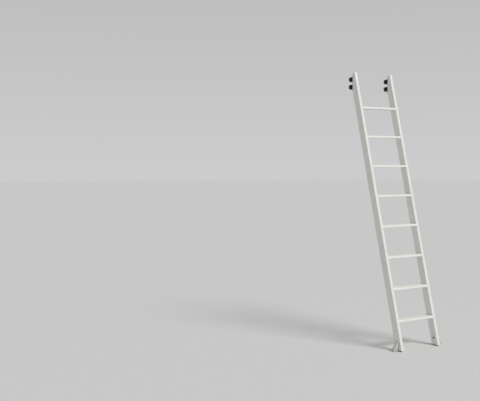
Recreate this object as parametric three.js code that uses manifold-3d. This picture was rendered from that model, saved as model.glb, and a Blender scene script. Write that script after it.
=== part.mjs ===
// A rolling library ladder: two leaning stiles with level treads let into them, a carriage of two
// grooved rollers behind the top of each stile, and a hooded floor wheel outside each foot.
// Millimetres. +X runs along the rail, +Y points at the bookcase and +Z is up.
// The origin is on the rail's centre line, midway between the stiles.

import * as THREE from "three";
import { mergeVertices } from "three/addons/utils/BufferGeometryUtils.js";
import Module from "manifold-3d";

const wasm = await Module();
wasm.setup();

// ---------------------------------------------------------------- driving sizes

// Where the ladder stands
const railHeight = 2056; // centre of the rail above the floor
const railDiameter = 26.7; // three-quarter inch pipe
const lean = THREE.MathUtils.degToRad(15.3); // of the stiles, from upright

// Woodwork
const clearWidth = 336; // between the stiles
const stileThickness = 24;
const stileDepth = 65; // square to the stile's length
const arris = 2; // rounding of the stile's long edges
const treadCount = 8;
const treadThickness = 19;
const treadNosing = 5; // rounding of a tread's front edges
const treadRearInset = 1; // tread short of the stile's rear edge
const firstTreadHeight = 217; // middle of the lowest tread above the floor
const topTreadBelowRail = 204; // middle of the top tread below the rail
const housingDepth = 8; // of the slot that holds a tread's end

// Rail carriage
const rollerDiameter = 40;
const rollerWidth = 22;
const grooveDepth = 3;
const railStandOff = 30; // rail centre behind the stile's plumb face
const plateWidth = 20;
const plateThickness = 4;
const plateEndMargin = 7; // plate past the centre of its end screws
const screwPastRoller = 6.5; // screw centre past the roller's rim
const bossDiameter = 16;
const shoulderDiameter = 8;
const threadDiameter = 7;
const boltHeadDiameter = 16;
const boltHeadThickness = 4.5;
const bushWall = 2;
const bushProud = 0.25; // bush past each side of its roller
const plumbMargin = 4; // plumb face below the plate
const topMargin = 20; // stile above the plate

// Foot
const footClearance = 6; // stile's end above the floor
const wheelDiameter = 32;
const tyreWidth = 14;
const tyreThickness = 5.5;
const wheelAxleDiameter = 6;
const axleHeadDiameter = 11;
const axleHeadHeight = 2;
const axleNutFlats = 10;
const axleNutHeight = 5;
const hoodWall = 1.5;
const hoodWheelGap = 3; // round the tyre
const hoodSideGap = 3; // each side of the tyre
const hoodHeight = 68;
const hoodTopWidth = 8;
const hoodBow = 3.5; // of the hood's rim, out from straight
const hoodFloorGap = 3;
const hoodBoltHeight = 57;
const earWidth = 11; // tab behind the hood, screwed to the stile
const earLowHeight = 14;
const earHighHeight = 46;
const earRearMargin = 2; // stile behind the ear
const footBoltDiameter = 6;
const footBoltFlats = 10;
const footBoltHeadHeight = 6;
const footFlangeDiameter = 15;
const footFlangeThickness = 1.5;
const footNutHeight = 5;
const boltPastNut = 2;
const padThickness = 4;
const padSideInset = 3;
const padEndInset = 10; // wood in front of the pad and behind it
const padScrewSink = 1; // head above the pad's underside

// Wood screws
const screwShank = 4;
const screwHead = 8;
const screwHeadLand = 0.4; // straight edge of a countersunk head
const screwLength = 18;

// Gaps
const seatGap = 0.3; // between pieces that touch
const runningGap = 0.15; // radial, between an axle and what turns on it

// Facets
const roundSides = 28;
const smallSides = 14;

// ---------------------------------------------------------------- worked out from them

const floorZ = -railHeight;
const treadRise = (railHeight - firstTreadHeight - topTreadBelowRail) / (treadCount - 1);
const levelDepth = stileDepth / Math.cos(lean); // the stile's depth measured level
const rollerRadius = rollerDiameter / 2;
const grooveRadius = railDiameter / 2 + seatGap;
const rollerHeight = grooveRadius + rollerRadius - grooveDepth; // roller centre from the rail's
const endScrewHeight = rollerHeight + rollerRadius + screwPastRoller;
const plateHalfHeight = endScrewHeight + plateEndMargin;
const plumbY = -railStandOff;
const plumbLowZ = -(plateHalfHeight + plumbMargin);
const stileTopZ = plateHalfHeight + topMargin;
const stileOuterX = clearWidth / 2 + stileThickness;

// The stile's front edge at a height, from where its rear edge meets the plumb face
const frontEdgeY = (z) => plumbY - levelDepth + (z - plumbLowZ) * Math.tan(lean);

const hoodDepth = tyreWidth + 2 * (hoodSideGap + hoodWall);
const earRearY = frontEdgeY(floorZ + earLowHeight) + levelDepth - earRearMargin;
const hoodCentreY = earRearY - earWidth - hoodDepth / 2;
const wheelRadius = wheelDiameter / 2;
const wheelOut = wheelRadius + hoodWheelGap + hoodWall; // axle out from the hood's back

// ---------------------------------------------------------------- materials

const finish = (color, roughness, metalness) =>
  new THREE.MeshStandardMaterial({ color, roughness, metalness });
const paint = finish(0xefede6, 0.45, 0);
const blackSteel = finish(0x1d1d1e, 0.4, 0.8);
const blackNylon = finish(0x141414, 0.5, 0);
const bronze = finish(0x9a7b4a, 0.35, 0.9);
const hoodEnamel = finish(0xcfccc5, 0.4, 0.1);
const rubber = finish(0x2a2a2a, 0.85, 0);
const greyNylon = finish(0x8b8b88, 0.5, 0);
const darkSteel = finish(0x2c2b29, 0.4, 0.9);

// ---------------------------------------------------------------- solids

function toSolid(geometry) {
  const bare = geometry.clone();
  bare.deleteAttribute("normal");
  bare.deleteAttribute("uv");
  const merged = mergeVertices(bare, 1e-4);
  const vertProperties = new Float32Array(merged.attributes.position.array);
  const triVerts = new Uint32Array(merged.index.array);
  return new wasm.Manifold(new wasm.Mesh({ numProp: 3, vertProperties, triVerts }));
}

function toGeometry(solid) {
  const mesh = solid.getMesh();
  const geometry = new THREE.BufferGeometry();
  geometry.setAttribute("position", new THREE.BufferAttribute(mesh.vertProperties, 3));
  geometry.setIndex(new THREE.BufferAttribute(mesh.triVerts, 1));
  geometry.computeVertexNormals();
  return geometry;
}

const joined = (first, ...others) =>
  toGeometry(others.reduce((solid, other) => solid.add(toSolid(other)), toSolid(first)));
const cut = (first, ...tools) =>
  toGeometry(tools.reduce((solid, tool) => solid.subtract(toSolid(tool)), toSolid(first)));

// An outline whose corners are rounded by the radius given with each point
function roundedShape(corners) {
  const shape = new THREE.Shape();
  corners.forEach(([x, y, radius = 0], i) => {
    const corner = new THREE.Vector2(x, y);
    const before = new THREE.Vector2(...corners.at(i - 1));
    const after = new THREE.Vector2(...corners[(i + 1) % corners.length]);
    const toBefore = before.sub(corner).normalize();
    const toAfter = after.sub(corner).normalize();
    const setBack = radius / Math.tan(Math.acos(toBefore.dot(toAfter)) / 2);
    const start = corner.clone().addScaledVector(toBefore, setBack);
    const end = corner.clone().addScaledVector(toAfter, setBack);
    if (i === 0) shape.moveTo(start.x, start.y);
    else shape.lineTo(start.x, start.y);
    if (radius > 0) shape.quadraticCurveTo(corner.x, corner.y, end.x, end.y);
  });
  shape.closePath();
  return shape;
}

// Side-view outline in (y, z), extruded along +X from x = 0
const sideView = new THREE.Matrix4().makeBasis(
  new THREE.Vector3(0, 1, 0),
  new THREE.Vector3(0, 0, 1),
  new THREE.Vector3(1, 0, 0),
);

function extruded(shape, depth, bevel = 0, curveSegments = 4) {
  const geometry = new THREE.ExtrudeGeometry(shape, {
    depth: depth - 2 * bevel,
    bevelEnabled: bevel > 0,
    bevelThickness: bevel,
    bevelSize: bevel,
    bevelOffset: -bevel,
    bevelSegments: 2,
    curveSegments,
  });
  return geometry.translate(0, 0, bevel);
}

const extrudedAlongX = (shape, depth, bevel, curveSegments) =>
  extruded(shape, depth, bevel, curveSegments).applyMatrix4(sideView);

// Front-view outline in (x, z), extruded along +Y from y = 0
const extrudedAlongY = (shape, depth, bevel, curveSegments) =>
  extruded(shape, depth, bevel, curveSegments)
    .rotateX(Math.PI / 2)
    .translate(0, depth, 0);

// A revolved profile of [radius, distance] points, its axis along +Y
const turnedAboutY = (profile, sides = roundSides) =>
  new THREE.LatheGeometry(
    profile.map(([radius, along]) => new THREE.Vector2(radius, along)),
    sides,
  );

const rodAlongY = (radius, from, to, sides = smallSides) =>
  new THREE.CylinderGeometry(radius, radius, to - from, sides).translate(0, (from + to) / 2, 0);
const rodAlongX = (radius, from, to, sides = smallSides) =>
  rodAlongY(radius, from, to, sides).rotateZ(-Math.PI / 2);
const rodAlongZ = (radius, from, to, sides = smallSides) =>
  rodAlongY(radius, from, to, sides).rotateX(Math.PI / 2);
const hexAcross = (flats) => flats / Math.sqrt(3);

// ---------------------------------------------------------------- woodwork

const treadZ = (index) => floorZ + firstTreadHeight + index * treadRise;

function stile() {
  const footZ = floorZ + footClearance;
  const topFrontY = frontEdgeY(stileTopZ);
  const topRearZ = stileTopZ - (plumbY - topFrontY) * Math.tan(lean);
  const outline = roundedShape([
    [frontEdgeY(footZ), footZ],
    [frontEdgeY(footZ) + levelDepth, footZ],
    [plumbY, plumbLowZ],
    [plumbY, topRearZ, 3],
    [topFrontY, stileTopZ, 3],
  ]);
  const board = extrudedAlongX(outline, stileThickness, arris).translate(clearWidth / 2, 0, 0);
  return cut(board, ...treadHousings(), ...carriageScrewHoles(), ...footHoles());
}

// Level slots through the stile's inner face, one for each tread
function treadHousings() {
  const slots = [];
  for (let i = 0; i < treadCount; i += 1) {
    const slot = new THREE.BoxGeometry(
      2 * housingDepth,
      4 * levelDepth,
      treadThickness + 2 * seatGap,
    );
    slots.push(slot.translate(clearWidth / 2, frontEdgeY(treadZ(i)), treadZ(i)));
  }
  return slots;
}

function carriageScrewHoles() {
  return [-1, 1].map((end) =>
    rodAlongY(screwShank / 2 + seatGap, plumbY - screwLength, plumbY + 1).translate(
      carriageX,
      0,
      end * endScrewHeight,
    ),
  );
}

function footHoles() {
  const bolt = rodAlongX(footBoltDiameter / 2 + seatGap, -stileThickness - 1, 1);
  const earScrew = rodAlongX(screwShank / 2 + seatGap, -screwLength - 1, 1);
  const padScrew = rodAlongZ(screwShank / 2 + seatGap, -1, screwLength);
  return [
    bolt.translate(stileOuterX, hoodCentreY, floorZ + hoodBoltHeight),
    earScrew.translate(stileOuterX, earScrewY, floorZ + earScrewHeight),
    padScrew.translate(carriageX, padScrewY, floorZ + footClearance),
  ];
}

function tread(z) {
  const low = -treadThickness / 2;
  const high = treadThickness / 2;
  const slope = Math.tan(lean);
  const frontY = frontEdgeY(z);
  const depth = levelDepth - treadRearInset;
  const outline = roundedShape([
    [frontY + low * slope, low, treadNosing],
    [frontY + depth + low * slope, low, arris],
    [frontY + depth + high * slope, high, arris],
    [frontY + high * slope, high, treadNosing],
  ]);
  const length = clearWidth + 2 * (housingDepth - seatGap);
  return extrudedAlongX(outline, length).translate(-length / 2, 0, z);
}

// ---------------------------------------------------------------- rail carriage

const carriageX = stileOuterX - stileThickness / 2;
const plateBackY = plumbY + seatGap + plateThickness;
const bossFaceY = -(rollerWidth / 2 + bushProud + seatGap);

function carriagePlate() {
  const corner = 3;
  const w = plateWidth / 2;
  const h = plateHalfHeight;
  const outline = roundedShape([
    [-w, -h, corner],
    [w, -h, corner],
    [w, h, corner],
    [-w, h, corner],
  ]);
  const plate = extrudedAlongY(outline, plateThickness).translate(0, plumbY + seatGap, 0);
  const bosses = [-1, 1].map((side) =>
    rodAlongY(bossDiameter / 2, plateBackY - 1, bossFaceY).translate(0, 0, side * rollerHeight),
  );
  const threads = [-1, 1].map((side) =>
    rodAlongY(threadDiameter / 2 + seatGap, plumbY, 0).translate(0, 0, side * rollerHeight),
  );
  const screwSeats = [-1, 1].map((end) =>
    countersink().translate(0, plateBackY, end * endScrewHeight),
  );
  return cut(joined(plate, ...bosses), ...threads, ...screwSeats);
}

// The seat of a countersunk screw, its head's face at y = 0 and its point towards -Y
function countersink() {
  const head = screwHead / 2 + seatGap;
  const shank = screwShank / 2 + seatGap;
  const open = 2;
  return turnedAboutY(
    [
      [0, -screwLength - 1],
      [shank, -screwLength - 1],
      [shank, shank - head - screwHeadLand],
      [head, -screwHeadLand],
      [head, open],
      [0, open],
    ],
    smallSides,
  );
}

function woodScrew() {
  const shank = screwShank / 2;
  const head = screwHead / 2;
  const tip = 4;
  const body = turnedAboutY(
    [
      [0, -screwLength],
      [shank, tip - screwLength],
      [shank, shank - head],
      [head, -screwHeadLand],
      [head, 0],
      [0, 0],
    ],
    smallSides,
  );
  return cut(body, crossRecess());
}

function crossRecess() {
  const slotLength = screwHead * 0.55;
  const slotWidth = 1;
  const slotDepth = 1.2;
  const bar = new THREE.BoxGeometry(slotLength, 2 * slotDepth, slotWidth);
  return joined(bar, new THREE.BoxGeometry(slotWidth, 2 * slotDepth, slotLength));
}

// A saddle roller: its groove is an arc of the rail's own radius, and its sides are dished
function railRoller() {
  const half = rollerWidth / 2;
  const lip = 0.8;
  const rimWall = 5;
  const hubWall = 3;
  const dish = 3;
  const draft = 0.5;
  const rimInner = rollerRadius - rimWall;
  const hubRadius = shoulderDiameter / 2 + bushWall + hubWall;
  const bore = shoulderDiameter / 2 + runningGap + bushWall + seatGap;
  const saddleHalf = Math.sqrt(grooveRadius ** 2 - (grooveRadius - grooveDepth) ** 2);
  const groove = [];
  const steps = 4;
  for (let i = 0; i <= steps; i += 1) {
    const along = saddleHalf * Math.sin((Math.PI / 2) * ((2 * i) / steps - 1));
    groove.push([rollerHeight - Math.sqrt(grooveRadius ** 2 - along ** 2), along]);
  }
  return turnedAboutY([
    [bore, -half],
    [hubRadius, -half],
    [hubRadius + draft, dish - half],
    [rimInner, dish - half],
    [rimInner + draft, -half],
    [rollerRadius - lip, -half],
    [rollerRadius, lip - half],
    ...groove,
    [rollerRadius, half - lip],
    [rollerRadius - lip, half],
    [rimInner + draft, half],
    [rimInner, half - dish],
    [hubRadius + draft, half - dish],
    [hubRadius, half],
    [bore, half],
    [bore, -half],
  ]);
}

function rollerBush() {
  const inner = shoulderDiameter / 2 + runningGap;
  const outer = inner + bushWall;
  const half = rollerWidth / 2 + bushProud;
  return turnedAboutY(
    [
      [inner, -half],
      [outer, -half],
      [outer, half],
      [inner, half],
      [inner, -half],
    ],
    smallSides,
  );
}

// Shoulder bolt: thread in the boss, shoulder through the bush, domed socket head behind
function rollerBolt() {
  const headY = -bossFaceY;
  const head = boltHeadDiameter / 2;
  const crown = 1.2;
  const body = turnedAboutY(
    [
      [0, plumbY + 2 * seatGap],
      [threadDiameter / 2, plumbY + 2 * seatGap],
      [threadDiameter / 2, bossFaceY + seatGap],
      [shoulderDiameter / 2, bossFaceY + seatGap],
      [shoulderDiameter / 2, headY],
      [head, headY],
      [head, headY + boltHeadThickness - crown],
      [head - crown, headY + boltHeadThickness],
      [0, headY + boltHeadThickness],
    ],
    smallSides,
  );
  const socketFlats = 5;
  const socketDepth = 2.5;
  const end = headY + boltHeadThickness;
  return cut(body, rodAlongY(hexAcross(socketFlats), end - socketDepth, end + 1, 6));
}

// ---------------------------------------------------------------- foot

const earScrewY = hoodCentreY + hoodDepth / 2 + earWidth / 2;
const earScrewHeight = (earLowHeight + earHighHeight) / 2;
const padLength = levelDepth - 2 * padEndInset;
const padFrontY = frontEdgeY(floorZ + footClearance) + padEndInset;
const padScrewY = padFrontY + padLength / 2;
const axleNutY = hoodDepth / 2 + seatGap;

// The hood seen from the front: upright at the stile, and a bowed rim sloping down over the wheel.
// The rim's chord passes the wheel at its clearance less the bow.
// inset moves the whole outline inwards for the hollow.
function hoodOutline(inset, lowZ) {
  const top = new THREE.Vector2(hoodTopWidth - inset, hoodHeight - inset);
  const axle = new THREE.Vector2(wheelOut, wheelRadius);
  const toAxle = axle.clone().sub(top);
  const chordToAxle = wheelRadius + hoodWheelGap + hoodWall - hoodBow - inset;
  const chordAngle = toAxle.angle() + Math.asin(chordToAxle / toAxle.length());
  const down = new THREE.Vector2(Math.cos(chordAngle), Math.sin(chordAngle));
  const low = top.clone().addScaledVector(down, (lowZ - top.y) / down.y);
  const outward = new THREE.Vector2(-down.y, down.x);
  const bowed = low.clone().add(top).multiplyScalar(0.5).addScaledVector(outward, 2 * hoodBow);
  const shape = new THREE.Shape();
  shape.moveTo(inset, lowZ);
  shape.lineTo(low.x, low.y);
  shape.quadraticCurveTo(bowed.x, bowed.y, top.x, top.y);
  shape.lineTo(inset, top.y);
  shape.closePath();
  return shape;
}

// Folded sheet-metal hood: cheeks, a rim over the wheel, a back, and an ear behind on the stile.
// Built reaching out along +X from x = 0, its middle at y = 0 and the floor at z = 0.
function wheelHood() {
  const rimSteps = 8;
  const earCorner = 4;
  const cheekY = hoodDepth / 2;
  const outer = extrudedAlongY(hoodOutline(0, hoodFloorGap), hoodDepth, 0, rimSteps);
  const hollow = extrudedAlongY(hoodOutline(hoodWall, 0), hoodDepth - 2 * hoodWall, 0, rimSteps);
  outer.translate(0, -cheekY, 0);
  hollow.translate(0, -cheekY + hoodWall, 0);
  const earShape = roundedShape([
    [cheekY - hoodWall, earLowHeight],
    [cheekY + earWidth, earLowHeight, earCorner],
    [cheekY + earWidth, earHighHeight, earCorner],
    [cheekY - hoodWall, earHighHeight],
  ]);
  const ear = extrudedAlongX(earShape, hoodWall);
  const axleHole = rodAlongY(wheelAxleDiameter / 2 + seatGap, -hoodDepth, hoodDepth);
  const boltHole = rodAlongX(footBoltDiameter / 2 + seatGap, -1, hoodWall + 1);
  const screwHole = rodAlongX(screwShank / 2 + seatGap, -1, hoodWall + 1);
  return cut(
    joined(outer, ear),
    hollow,
    axleHole.translate(wheelOut, 0, wheelRadius),
    boltHole.translate(0, 0, hoodBoltHeight),
    screwHole.translate(0, earScrewY - hoodCentreY, earScrewHeight),
  );
}

// Solid tyre with a flat tread, rounded shoulders and a chamfered seat on the hub
function tyre() {
  const half = tyreWidth / 2;
  const inner = wheelRadius - tyreThickness + seatGap;
  const chamfer = 1;
  const shoulder = 4;
  const shoulderDrop = 1;
  const sideRound = 3;
  return turnedAboutY([
    [inner, chamfer - half],
    [inner + chamfer, -half],
    [wheelRadius - sideRound, -half],
    [wheelRadius - shoulderDrop, sideRound / 2 - half],
    [wheelRadius, shoulder - half],
    [wheelRadius, half - shoulder],
    [wheelRadius - shoulderDrop, half - sideRound / 2],
    [wheelRadius - sideRound, half],
    [inner + chamfer, half],
    [inner, half - chamfer],
    [inner, chamfer - half],
  ]);
}

// Hub with a rim under the tyre, a web recessed from both sides and a boss that spaces the cheeks
function wheelHub() {
  const outer = wheelRadius - tyreThickness;
  const bore = wheelAxleDiameter / 2 + runningGap;
  const endFloat = 0.5;
  const bossHalf = tyreWidth / 2 + hoodSideGap - endFloat;
  const bossRadius = bore + 2.5;
  const rimHalf = tyreWidth / 2 - endFloat;
  const rimWall = 2;
  const recess = 4;
  const draft = 0.5;
  const webHalf = tyreWidth / 2 - recess;
  return turnedAboutY([
    [bore, -bossHalf],
    [bossRadius, -bossHalf],
    [bossRadius + draft, -webHalf],
    [outer - rimWall - draft, -webHalf],
    [outer - rimWall, -rimHalf],
    [outer, -rimHalf],
    [outer, rimHalf],
    [outer - rimWall, rimHalf],
    [outer - rimWall - draft, webHalf],
    [bossRadius + draft, webHalf],
    [bossRadius, bossHalf],
    [bore, bossHalf],
    [bore, -bossHalf],
  ]);
}

// Low-headed axle through both cheeks of the hood, its head in front
function wheelAxle() {
  const cheek = hoodDepth / 2 + seatGap;
  const headRadius = axleHeadDiameter / 2;
  const radius = wheelAxleDiameter / 2;
  const crown = 0.6;
  const chamfer = 0.8;
  const end = cheek + axleNutHeight + boltPastNut;
  return turnedAboutY(
    [
      [0, -cheek - axleHeadHeight],
      [headRadius * crown, -cheek - axleHeadHeight * 0.9],
      [headRadius, -cheek - axleHeadHeight * 0.4],
      [headRadius, -cheek],
      [radius, -cheek],
      [radius, end - chamfer],
      [radius - chamfer, end],
      [0, end],
    ],
    smallSides,
  );
}

function hexNut(flats, height, bore) {
  const nut = rodAlongY(hexAcross(flats), 0, height, 6);
  return cut(nut, rodAlongY(bore + seatGap, -1, height + 1));
}

// Flanged hex bolt through the stile and the hood's back, pointing along +X from its flange
function footBolt() {
  const length = stileThickness + seatGap + hoodWall + footNutHeight + boltPastNut;
  return joined(
    rodAlongX(footBoltDiameter / 2, -1, length),
    rodAlongX(footFlangeDiameter / 2, -footFlangeThickness - seatGap, -seatGap),
    rodAlongX(hexAcross(footBoltFlats), -footBoltHeadHeight, -1, 6),
  );
}

// Pan-headed screw, its head standing on y = 0 and its point towards -Y
function panScrew() {
  const head = screwHead / 2;
  const headHeight = 2.8;
  const tip = 4;
  const body = turnedAboutY(
    [
      [0, -screwLength],
      [screwShank / 2, tip - screwLength],
      [screwShank / 2, 0],
      [head, 0],
      [head, headHeight * 0.4],
      [head * 0.7, headHeight * 0.85],
      [0, headHeight],
    ],
    smallSides,
  );
  return cut(body, crossRecess().translate(0, headHeight, 0));
}

function footPad() {
  const width = stileThickness - 2 * padSideInset;
  const corner = 3;
  const edge = 0.8;
  const outline = roundedShape([
    [-width / 2, 0, corner],
    [width / 2, 0, corner],
    [width / 2, padLength, corner],
    [-width / 2, padLength, corner],
  ]);
  const pad = extruded(outline, padThickness, edge, 2);
  const seat = countersink().rotateX(-Math.PI / 2);
  return cut(pad, seat.translate(0, padLength / 2, padScrewSink));
}

// ---------------------------------------------------------------- assembly

const ladder = new THREE.Group();

function place(parent, name, geometry, material, x = 0, y = 0, z = 0) {
  const mesh = new THREE.Mesh(geometry, material);
  mesh.name = name;
  mesh.position.set(x, y, z);
  parent.add(mesh);
}

function addCarriage(side, hand) {
  const carriage = new THREE.Group();
  carriage.position.x = carriageX;
  side.add(carriage);
  place(carriage, `carriage_plate_${hand}`, carriagePlate(), blackSteel);
  for (const [level, sign] of [["upper", 1], ["lower", -1]]) {
    const z = sign * rollerHeight;
    const end = sign * endScrewHeight;
    place(carriage, `${level}_roller_${hand}`, railRoller(), blackNylon, 0, 0, z);
    place(carriage, `${level}_roller_bush_${hand}`, rollerBush(), bronze, 0, 0, z);
    place(carriage, `${level}_roller_bolt_${hand}`, rollerBolt(), darkSteel, 0, 0, z);
    place(carriage, `${level}_plate_screw_${hand}`, woodScrew(), darkSteel, 0, plateBackY, end);
  }
}

function addFoot(side, hand) {
  const foot = new THREE.Group();
  foot.position.set(stileOuterX + seatGap, hoodCentreY, floorZ);
  side.add(foot);
  const axle = [wheelOut, 0, wheelRadius];
  const axleNut = hexNut(axleNutFlats, axleNutHeight, wheelAxleDiameter / 2);
  const bolt = footBolt().translate(-stileThickness - seatGap, 0, 0);
  const boltNut = hexNut(footBoltFlats, footNutHeight, footBoltDiameter / 2);
  boltNut.rotateZ(-Math.PI / 2).translate(hoodWall + seatGap, 0, 0);
  const earScrew = panScrew().rotateZ(-Math.PI / 2).translate(hoodWall + seatGap, 0, 0);
  place(foot, `wheel_hood_${hand}`, wheelHood(), hoodEnamel);
  place(foot, `floor_tyre_${hand}`, tyre(), rubber, ...axle);
  place(foot, `floor_wheel_hub_${hand}`, wheelHub(), greyNylon, ...axle);
  place(foot, `wheel_axle_${hand}`, wheelAxle(), hoodEnamel, ...axle);
  place(foot, `wheel_axle_nut_${hand}`, axleNut, darkSteel, wheelOut, axleNutY, wheelRadius);
  place(foot, `foot_bolt_${hand}`, bolt, darkSteel, 0, 0, hoodBoltHeight);
  place(foot, `foot_bolt_nut_${hand}`, boltNut, darkSteel, 0, 0, hoodBoltHeight);
  place(foot, `hood_screw_${hand}`, earScrew, darkSteel, 0, earScrewY - hoodCentreY, earScrewHeight);
}

function addPad(side, hand) {
  const padZ = floorZ + footClearance - seatGap - padThickness;
  const screw = woodScrew().rotateX(-Math.PI / 2);
  place(side, `foot_pad_${hand}`, footPad(), rubber, carriageX, padFrontY, padZ);
  place(side, `foot_pad_screw_${hand}`, screw, darkSteel, carriageX, padScrewY, padZ + padScrewSink);
}

for (let i = 0; i < treadCount; i += 1) {
  place(ladder, `tread_${i + 1}`, tread(treadZ(i)), paint);
}

// The two sides mirror each other in the plane x = 0
for (const [hand, mirror] of [["right", 1], ["left", -1]]) {
  const side = new THREE.Group();
  side.scale.x = mirror;
  ladder.add(side);
  place(side, `stile_${hand}`, stile(), paint);
  addCarriage(side, hand);
  addFoot(side, hand);
  addPad(side, hand);
}

export default ladder;
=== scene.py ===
# %% [markdown]
# # A rolling library ladder
#
# The ladder leans on a bookcase. Two painted boards, the stiles, carry eight level treads. At the top
# of each stile a pair of dark grooved rollers grips a pipe rail, and at each foot a small wheel runs
# on the floor under a folded steel hood.
#
# The sizes are already settled in a plain mechanical model, which is loaded first as a fixed frame.
# This script gives every piece its finished shape and its finish. Units are metres, +X runs along the
# rail, +Y points at the bookcase and +Z is up. The origin is on the rail's centre line.

# %% Load the frame
import math

import bpy
from mathutils import Euler, Matrix, Quaternion, Vector


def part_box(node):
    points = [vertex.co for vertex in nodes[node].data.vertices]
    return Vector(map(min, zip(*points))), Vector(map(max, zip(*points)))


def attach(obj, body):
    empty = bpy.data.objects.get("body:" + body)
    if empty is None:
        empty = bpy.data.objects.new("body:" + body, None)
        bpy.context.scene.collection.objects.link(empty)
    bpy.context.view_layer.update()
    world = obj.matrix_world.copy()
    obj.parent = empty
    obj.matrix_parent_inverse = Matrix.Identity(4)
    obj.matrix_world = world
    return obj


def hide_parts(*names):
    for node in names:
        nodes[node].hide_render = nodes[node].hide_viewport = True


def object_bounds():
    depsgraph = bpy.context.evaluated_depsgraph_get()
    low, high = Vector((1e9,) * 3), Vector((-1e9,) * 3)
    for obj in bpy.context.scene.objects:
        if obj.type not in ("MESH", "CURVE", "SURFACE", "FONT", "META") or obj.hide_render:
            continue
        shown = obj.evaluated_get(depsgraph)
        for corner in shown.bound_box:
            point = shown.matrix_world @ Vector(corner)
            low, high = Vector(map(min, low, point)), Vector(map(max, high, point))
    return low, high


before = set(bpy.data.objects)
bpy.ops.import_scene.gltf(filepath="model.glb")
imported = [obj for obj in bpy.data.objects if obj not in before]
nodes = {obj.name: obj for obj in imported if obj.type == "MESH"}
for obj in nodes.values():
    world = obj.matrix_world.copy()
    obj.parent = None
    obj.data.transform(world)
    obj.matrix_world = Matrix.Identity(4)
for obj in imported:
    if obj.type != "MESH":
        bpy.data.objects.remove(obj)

frame_low, frame_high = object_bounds()
print("frame:", len(nodes), "nodes, from", tuple(frame_low), "to", tuple(frame_high))

# %% [markdown]
# ## The ladder's own measures
#
# Every new piece takes its place from the frame. The lean is the step in Y from tread to tread over
# the step in Z. Along a leaning board the useful distance is not Y but the distance behind the
# board's front edge, so a small function turns a height into the Y of that edge.

# %% Measures taken from the frame
tread_low, tread_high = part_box("tread_1")
top_tread_low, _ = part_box("tread_8")
stile_low, stile_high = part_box("stile_right")
lean = math.atan2(top_tread_low.y - tread_low.y, top_tread_low.z - tread_low.z)
slope = math.tan(lean)

edge_distances = [v.co.y - v.co.z * slope for v in nodes["stile_right"].data.vertices]
front_offset = min(edge_distances)
level_depth = max(edge_distances) - front_offset
floor_z = frame_low.z
inner_x, outer_x = stile_low.x, stile_high.x
stile_x = (inner_x + outer_x) / 2
plumb_y = stile_high.y
tread_count = sum(1 for name in nodes if name.startswith("tread_"))
tread_rise = (top_tread_low.z - tread_low.z) / (tread_count - 1)


def front_edge_y(z):
    """Y of the stiles' front edge at a height."""
    return front_offset + z * slope


print("lean", round(math.degrees(lean), 2), "degrees; boards", round(level_depth, 4), "m deep, level")

# %% [markdown]
# ## Working in edit mode without a window
#
# A modeller clicks on faces. A script picks them by where they are. These helpers deselect
# everything, add a primitive at its size and place, and select edges or faces by a test on their
# middle point, so that the operators that follow act on exactly those.

# %% Helpers for edit mode
import bmesh

merge_distance = 3e-6
on_plane = 1e-5  # how near a point lies to a plane it is meant to be on
crack = 0.0003  # between pieces that fit into each other


def deselect_all():
    if bpy.context.object and bpy.context.object.mode == "EDIT":
        bpy.ops.object.mode_set(mode="OBJECT")
    bpy.ops.object.select_all(action="DESELECT")


def take(piece):
    """Make one piece the only selected and active one."""
    deselect_all()
    piece.select_set(True)
    bpy.context.view_layer.objects.active = piece


def settle(piece):
    """Put the piece's place into its mesh, so that its object sits at the origin."""
    take(piece)
    bpy.ops.object.transform_apply(location=True, rotation=True, scale=True)


def add_block(name, low, high):
    """A box between two corners."""
    deselect_all()
    low, high = Vector(low), Vector(high)
    bpy.ops.mesh.primitive_cube_add(size=1, location=(low + high) / 2, scale=high - low)
    piece = bpy.context.object
    piece.name = name
    settle(piece)
    return piece


def pick(kind, test):
    """Select the edges or faces of the mesh in edit mode whose middle passes a test."""
    mesh = bmesh.from_edit_mesh(bpy.context.object.data)
    bpy.ops.mesh.select_mode(type="EDGE" if kind == "edges" else "FACE")
    bpy.ops.mesh.select_all(action="DESELECT")
    found = mesh.edges if kind == "edges" else mesh.faces
    count = 0
    for part in found:
        middle = sum((v.co for v in part.verts), Vector()) / len(part.verts)
        chosen = test(part, middle)
        part.select_set(chosen)
        count += chosen
    mesh.select_flush_mode()
    bmesh.update_edit_mesh(bpy.context.object.data)
    return count


def runs_along(edge, axis, at_least=0.001):
    """Whether an edge reaches at least so far along an axis."""
    start, end = edge.verts
    return abs(getattr(start.co, axis) - getattr(end.co, axis)) > at_least


def edit(piece):
    take(piece)
    bpy.ops.object.mode_set(mode="EDIT")


def leave_edit():
    bpy.ops.object.mode_set(mode="OBJECT")


def apply_modifier(piece, kind, **settings):
    take(piece)
    modifier = piece.modifiers.new(kind.lower(), kind)
    for name, value in settings.items():
        setattr(modifier, name, value)
    bpy.ops.object.modifier_apply(modifier=modifier.name)


def soften(piece, width, segments=3, angle=30):
    """Round every edge sharper than an angle."""
    apply_modifier(
        piece,
        "BEVEL",
        width=width,
        segments=segments,
        limit_method="ANGLE",
        angle_limit=math.radians(angle),
        harden_normals=False,
    )


def smooth(piece, angle=35):
    """Merge corners that lie on each other, and shade smoothly across gentle edges."""
    edit(piece)
    bpy.ops.mesh.select_all(action="SELECT")
    bpy.ops.mesh.remove_doubles(threshold=merge_distance)
    bpy.ops.mesh.dissolve_degenerate(threshold=merge_distance)
    leave_edit()
    bpy.ops.object.shade_smooth_by_angle(angle=math.radians(angle))


def carve(piece, *cutters):
    """Subtract other meshes and delete them."""
    for cutter in cutters:
        apply_modifier(piece, "BOOLEAN", operation="DIFFERENCE", object=cutter, solver="EXACT")
        bpy.data.objects.remove(cutter, do_unlink=True)


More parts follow.
